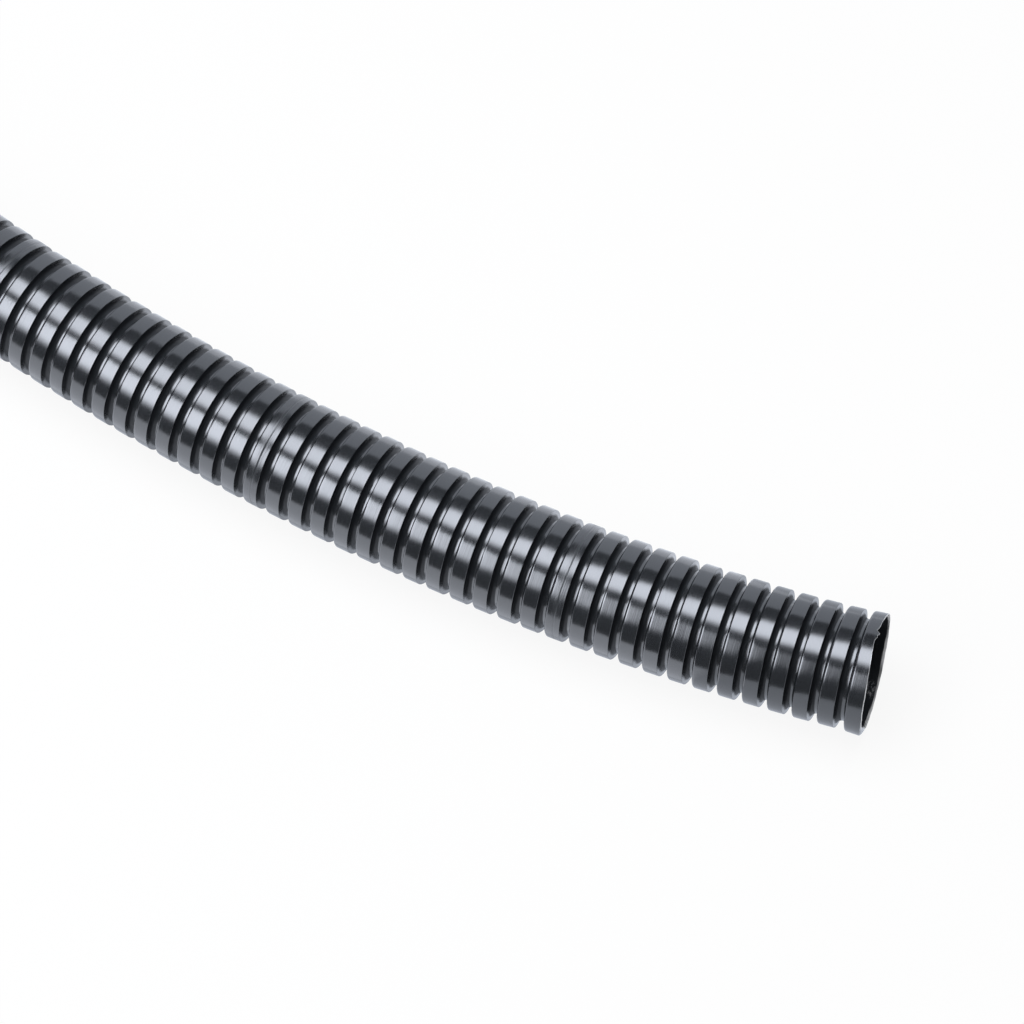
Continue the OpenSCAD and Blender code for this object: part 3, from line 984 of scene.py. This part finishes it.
# ---- Stage and light ----

WHITE, COOL_WHITE = (1, 1, 1, 1), (0.82, 0.88, 1.0, 1)
PALE = (0.95, 0.95, 0.95, 1)
FLOOR_REACH = 12
FLOOR_GLOW_SHARE = 0.9
WORLD_LEVEL = 0.19
GLOSS_ONLY = {
    "visible_camera": False, "visible_diffuse": False, "visible_shadow": False,
    "visible_transmission": False,
}


def add_stage(name, points, faces, material, shown=None):
    """A flat piece that isn't part of the object, and which rays see it."""
    mesh = bpy.data.meshes.new(name)
    mesh.from_pydata(points, [], faces)
    mesh.materials.append(material)
    piece = add_object(name, mesh)
    for key, value in (shown or {}).items():
        setattr(piece, key, value)
    return piece


def seen_directly(paint):
    """1 for rays from the camera, from a reflection or through glass, else 0, and the white that
    they see, which is a little cooler in a reflection."""
    path = paint.node("ShaderNodeLightPath")
    seen = path["Is Camera Ray"] + path["Is Glossy Ray"] + path["Is Transmission Ray"]
    share = paint.node("ShaderNodeMath", {"operation": "MINIMUM"}, {0: seen, 1: 1.0})[0]
    return share, paint.mix(path["Is Glossy Ray"], WHITE, COOL_WHITE)


def floor_finish():
    """White where the camera or a reflection looks at it, with a share of real shade, so that
    the hose keeps its shadow. Plain pale matt for the light it gives back."""
    material = bpy.data.materials.new("floor")
    paint = clear_paint(material)
    seen, white = seen_directly(paint)
    glow = paint.node("ShaderNodeEmission", {}, {"Color": white, "Strength": 1.0})[0]
    matt = paint.node("ShaderNodeBsdfDiffuse", {}, {"Color": PALE})[0]
    share = seen * FLOOR_GLOW_SHARE
    blend = paint.node("ShaderNodeMixShader", {}, {0: share, 1: matt, 2: glow})[0]
    paint.node("ShaderNodeOutputMaterial", {}, {"Surface": blend})
    return material


floor_corners = [
    (x * FLOOR_REACH, y * FLOOR_REACH, FLOOR_Z) for x, y in ((-1, -1), (1, -1), (1, 1), (-1, 1))
]
add_stage("floor", floor_corners, [(0, 1, 2, 3)], floor_finish())


def make_world():
    """White for what looks at it, and a low even light for matt surfaces."""
    world = bpy.data.worlds.new("studio")
    bpy.context.scene.world = world
    paint = clear_paint(world)
    seen, white = seen_directly(paint)
    strength = WORLD_LEVEL + (1 - WORLD_LEVEL) * seen
    back = paint.node("ShaderNodeBackground", {}, {"Color": white, "Strength": strength})[0]
    paint.node("ShaderNodeOutputWorld", {}, {"Surface": back})


make_world()


def card_grid(low_edge, high_edge, columns, rows):
    """Points of a card between two edges of equally many corners, as a grid: each point is on
    the straight line from the low edge to the high one. Also gives along and across, 0 to 1."""
    low, high = np.array(low_edge, float), np.array(high_edge, float)
    corners = np.linspace(0, 1, len(low))
    along = np.linspace(0, 1, columns)
    across = np.linspace(0, 1, rows)
    low, high = (
        np.stack([np.interp(along, corners, edge[:, i]) for i in range(3)], -1)[:, None]
        for edge in (low, high)
    )
    share = across[None, :, None]
    points = low * (1 - share) + high * share
    a, b = np.meshgrid(along, across, indexing="ij")
    return points.reshape(-1, 3), a.ravel(), b.ravel()


def add_card(name, low_edge, high_edge, radiance, rise=0.0, low_fade=0.0, high_fade=0.0):
    """A card that shows only in gloss. It glows by radiance, rising along it over the share
    rise, and fading towards its low and high edges over the shares given. Dim ones aren't
    sampled as lamps."""
    points, along, across = card_grid(low_edge, high_edge, CARD_COLUMNS, CARD_ROWS)
    i, j = np.meshgrid(np.arange(CARD_COLUMNS - 1), np.arange(CARD_ROWS - 1), indexing="ij")
    first = (i * CARD_ROWS + j).ravel()
    beside = first + CARD_ROWS
    faces = np.stack([first, beside, beside + 1, first + 1], -1).tolist()
    material = bpy.data.materials.new(name)
    if radiance < BRIGHT:
        material.cycles.emission_sampling = "NONE"
    card = add_stage(name, points, faces, material, GLOSS_ONLY)
    add_field(card, "along", along)
    add_field(card, "across", across)
    paint = clear_paint(material)
    strength = radiance
    if rise:
        strength = strength * paint.step(paint.field("along"), 0, rise)
    if low_fade:
        strength = strength * paint.step(paint.field("across"), 0, low_fade)
    if high_fade:
        strength = strength * paint.step(1 - paint.field("across"), 0, high_fade)
    glow = paint.node("ShaderNodeEmission", {}, {"Color": BOX_COLOUR, "Strength": strength})[0]
    paint.node("ShaderNodeOutputMaterial", {}, {"Surface": glow})


# Colours of the cards and of the lamps. Radiance of dark cards, and that from which a card is
# sampled as a lamp.
BOX_COLOUR = (0.855, 0.9, 1.0, 1)
LAMP_COLOUR = (0.97, 0.98, 1.0)
DARK, DARKEST = 0.12, 0.05
BRIGHT = 2.0
CARD_COLUMNS, CARD_ROWS = 25, 9

# The overhead softbox: near edge and far edge as x and y, from right to left.
TOP_Z = 1.5
TOP_NEAR = ((0.5, -0.72), (-0.24, -0.66), (-0.75, -0.64), (-1.16, -0.49), (-1.6, -0.28))
TOP_FAR = ((0.5, 0.45), (-0.24, 0.58), (-0.48, 0.51), (-0.8, 0.58), (-1.3, 0.78))
add_card(
    "top_box", [(x, y, TOP_Z) for x, y in TOP_NEAR], [(x, y, TOP_Z) for x, y in TOP_FAR],
    radiance=5.9, low_fade=0.35, high_fade=0.25,
)

# The softbox at the near left: bottom edge and top edge as x and z, from right to left.
NEAR_Y = -1.2
NEAR_LOW = ((-0.10, 0.90), (-0.42, 0.36), (-0.9, 0.265), (-1.5, 0.25), (-2.0, 0.24))
NEAR_HIGH = ((0.05, 1.65), (-0.60, 1.78), (-1.15, 2.04), (-1.8, 2.6), (-2.7, 3.8))
add_card(
    "near_box", [(x, NEAR_Y, z) for x, z in NEAR_LOW], [(x, NEAR_Y, z) for x, z in NEAR_HIGH],
    radiance=6.6, rise=0.55, low_fade=0.3, high_fade=0.12,
)

# Dark surroundings: ceiling, near wall, end walls, and a dark sheet on the near floor.
LEFT_X, RIGHT_X, WALL_Y, BACK_Y, CEILING_Z = -4.5, 3.5, -2.9, 2.8, 2.6
LEFT_WALL_BACK_Y = 0.4
add_card(
    "ceiling",
    [(RIGHT_X, WALL_Y, CEILING_Z), (LEFT_X, WALL_Y, CEILING_Z)],
    [(RIGHT_X, BACK_Y, CEILING_Z), (LEFT_X, BACK_Y, CEILING_Z)], DARK,
)
add_card(
    "near_wall",
    [(RIGHT_X, WALL_Y, FLOOR_Z), (LEFT_X, WALL_Y, FLOOR_Z)],
    [(RIGHT_X, WALL_Y, CEILING_Z), (LEFT_X, WALL_Y, CEILING_Z)], DARK,
)
for name, x, back_y, level in (
    ("left_wall", LEFT_X, LEFT_WALL_BACK_Y, DARK), ("right_wall", RIGHT_X, BACK_Y, DARKEST),
):
    add_card(
        name, [(x, WALL_Y, FLOOR_Z), (x, back_y, FLOOR_Z)],
        [(x, WALL_Y, CEILING_Z), (x, back_y, CEILING_Z)], level,
    )

# The sheet starts this far from the hose's line, at so many places between two lengths of it.
# At the near wall it reaches from SHEET_RIGHT_X to the left end.
SHEET_FROM, SHEET_TO, SHEET_POINTS = 0.06875, 0.6, 18
SHEET_GAP = np.linspace(0.1025, 0.145, SHEET_POINTS)[:, None]
SHEET_LIFT = 0.5 * MM
SHEET_RIGHT_X = 1.1667
hose_point, _, hose_side, _ = on_line(np.linspace(SHEET_FROM, SHEET_TO, SHEET_POINTS))
sheet_near = hose_point + SHEET_GAP * hose_side
sheet_near[:, 2] = FLOOR_Z + SHEET_LIFT
sheet_far = sheet_near.copy()
sheet_far[:, 1] = WALL_Y
sheet_far[:, 0] = np.linspace(SHEET_RIGHT_X, LEFT_X, SHEET_POINTS)
add_card("near_sheet", sheet_far, sheet_near, DARK)

# Cards on the floor along both sides of the hose that show only in gloss and glow brighter than the
# white floor: a painted reflection that lightens the hose's upper and lower edges.
BOARD_GLOW = 1.45
BOARD_CLEAR = 0.026
BOARD_REACH = 1.6
board_near = hose_point + BOARD_CLEAR * hose_side
board_far = hose_point - BOARD_CLEAR * hose_side
board_back = hose_point - BOARD_REACH * hose_side
for edge in (board_near, board_far, board_back):
    edge[:, 2] = FLOOR_Z + SHEET_LIFT
add_card("near_board", sheet_near, board_near, BOARD_GLOW)
add_card("far_board", board_far, board_back, BOARD_GLOW)

LAMP_AIM = np.array((-0.3, 0.1, 0))
STEEP = 0.99
PLUS_X, PLUS_Z = np.array((1.0, 0.0, 0.0)), np.array((0.0, 0.0, 1.0))


def add_lamp(name, centre, width, height, level):
    """A rectangular lamp for matt surfaces, hidden from gloss: level is its radiance, and its
    power is 4 times radiance times area. It faces LAMP_AIM. A steep one lies along +X."""
    data = bpy.data.lights.new(name, "AREA")
    data.shape = "RECTANGLE"
    data.size = width
    data.size_y = height
    data.energy = level * width * height * 4
    data.color = LAMP_COLOUR
    lamp = add_object(name, data)
    lamp.visible_camera = False
    lamp.visible_glossy = False
    ahead = LAMP_AIM - np.array(centre)
    ahead /= np.linalg.norm(ahead)
    across = np.cross(ahead, PLUS_Z) if abs(ahead[2]) < STEEP else PLUS_X
    across = across / np.linalg.norm(across)
    up = np.cross(across, ahead)
    turned = np.stack([across, up, -ahead, np.array(centre)], axis=1)
    lamp.matrix_world = Matrix(np.vstack([turned, (0, 0, 0, 1)]).tolist())


add_lamp("top_lamp", (-0.5, 0.1, 1.5), width=1.7, height=1.2, level=2.5)
add_lamp("near_lamp", (-1.1, -1.2, 1.4), width=1.2, height=1.5, level=1.9)

bpy.context.scene.view_settings.view_transform = "Standard"
